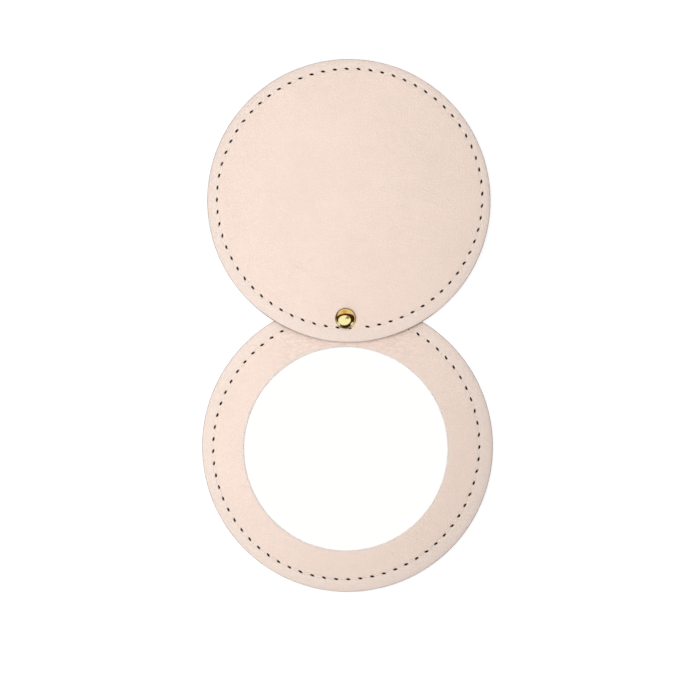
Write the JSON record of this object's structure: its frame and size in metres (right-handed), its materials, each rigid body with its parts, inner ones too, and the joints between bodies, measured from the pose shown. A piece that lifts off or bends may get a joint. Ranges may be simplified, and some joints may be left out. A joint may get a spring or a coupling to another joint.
{
  "type": "compact mirror",
  "caption": "Round pocket mirror in a stitched pale leather-look disc, with a matching stitched disc cover that swivels on a domed rivet near the rim.",
  "frame": {"origin": "centre of the base disc's back face", "axes": "+Z out of the mirror, +Y from the base's centre through the rivet towards the opened cover, +X to the right of the mirror seen from the front"},
  "size_m": [0.0831, 0.1517, 0.01],
  "materials": {
    "leather": "satin, fine grain, pale blush",
    "lining": "satin, fine grain, pale blush",
    "board": "matt grey-brown board",
    "glue": "clear foam-backed adhesive",
    "mirror": "back-silvered glass",
    "thread": "twisted polyester, pale blush",
    "washer": "natural nylon",
    "rivet_metal": "polished gold plate"
  },
  "bodies": {
    "base": {"base_back_leather": "leather", "base_back_board": "board", "mirror_frame_board": "board", "mirror_adhesive": "glue", "mirror_glass": "mirror", "base_front_leather": "leather", "base_needle_thread": "thread", "base_bobbin_thread": "thread", "pivot_washer": "washer", "rivet_post": "rivet_metal", "rivet_cap": "rivet_metal"},
    "cover": {"cover_lining": "lining", "cover_board": "board", "cover_front_leather": "leather", "cover_needle_thread": "thread", "cover_bobbin_thread": "thread"}
  },
  "joints": [
    {"name": "cover_swivel", "type": "hinge", "parent": "base", "child": "cover", "pos_m": [0, 0.0365, 0], "axis": [0, 0, 1], "continuous": true}
  ]
}
